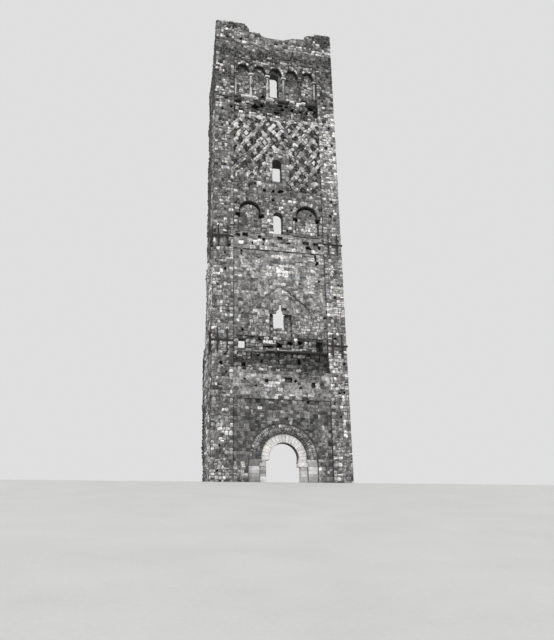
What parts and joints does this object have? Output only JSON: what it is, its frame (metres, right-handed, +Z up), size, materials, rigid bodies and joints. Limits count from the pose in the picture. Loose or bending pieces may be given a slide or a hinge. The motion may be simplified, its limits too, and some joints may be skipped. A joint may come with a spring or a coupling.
{
  "type": "ruined minaret",
  "caption": "Ruined square stone minaret tower with a horseshoe-arched portal, slit windows, blind arches, a lozenge lattice panel and a blind arcade under a broken top.",
  "frame": {"origin": "middle of the bounding box's foot, at ground level", "axes": "+Z up, +Y from the portal front into the tower, +X to the right as seen from the front"},
  "size_m": [10.0706, 5.6598, 38.62],
  "materials": {
    "rubble_stone": "weathered coursed rubble, mottled light and dark grey",
    "dressed_stone": "darker dressed stone, weathered",
    "pale_stone": "pale dressed stone, weathered",
    "iron": "dark rusted wrought iron"
  },
  "bodies": {
    "root": {"wall_above_portal": "rubble_stone", "corbel_zone": "rubble_stone", "small_window_wall": "rubble_stone", "balcony_wall_left": "rubble_stone", "balcony_wall_right": "rubble_stone", "balcony_wall_over": "rubble_stone", "balcony_door_surround": "rubble_stone", "string_band": "rubble_stone", "window_wall": "rubble_stone", "sebka_wall_left": "rubble_stone", "sebka_wall_right": "rubble_stone", "sebka_window_wall": "rubble_stone", "cavity_band": "rubble_stone", "arcade_wall": "rubble_stone", "crown_wall": "rubble_stone", "left_wall_foot": "rubble_stone", "left_wall_balcony": "rubble_stone", "left_wall_sebka": "rubble_stone", "left_wall_crown": "rubble_stone", "right_wall_foot": "rubble_stone", "right_wall_balcony": "rubble_stone", "right_wall_sebka": "rubble_stone", "right_wall_crown": "rubble_stone", "portal_wall_left": "dressed_stone", "portal_wall_right": "dressed_stone", "portal_spandrel": "dressed_stone", "outer_arch": "dressed_stone", "lobed_arch": "dressed_stone", "outer_jamb_left": "pale_stone", "outer_jamb_right": "pale_stone", "door_jamb_left": "pale_stone", "door_jamb_right": "pale_stone", "door_impost_left": "pale_stone", "door_impost_right": "pale_stone", "door_arch": "pale_stone", "balcony_ledge": "pale_stone", "niche_panel_left": "pale_stone", "niche_panel_right": "pale_stone", "sebka_lattice": "pale_stone", "arcade_sill": "pale_stone", "blind_arcade": "pale_stone", "iron_tie_lower_left": "iron", "iron_tie_lower_right": "iron", "iron_tie_upper_left": "iron", "iron_tie_upper_right": "iron"}
  },
  "joints": []
}
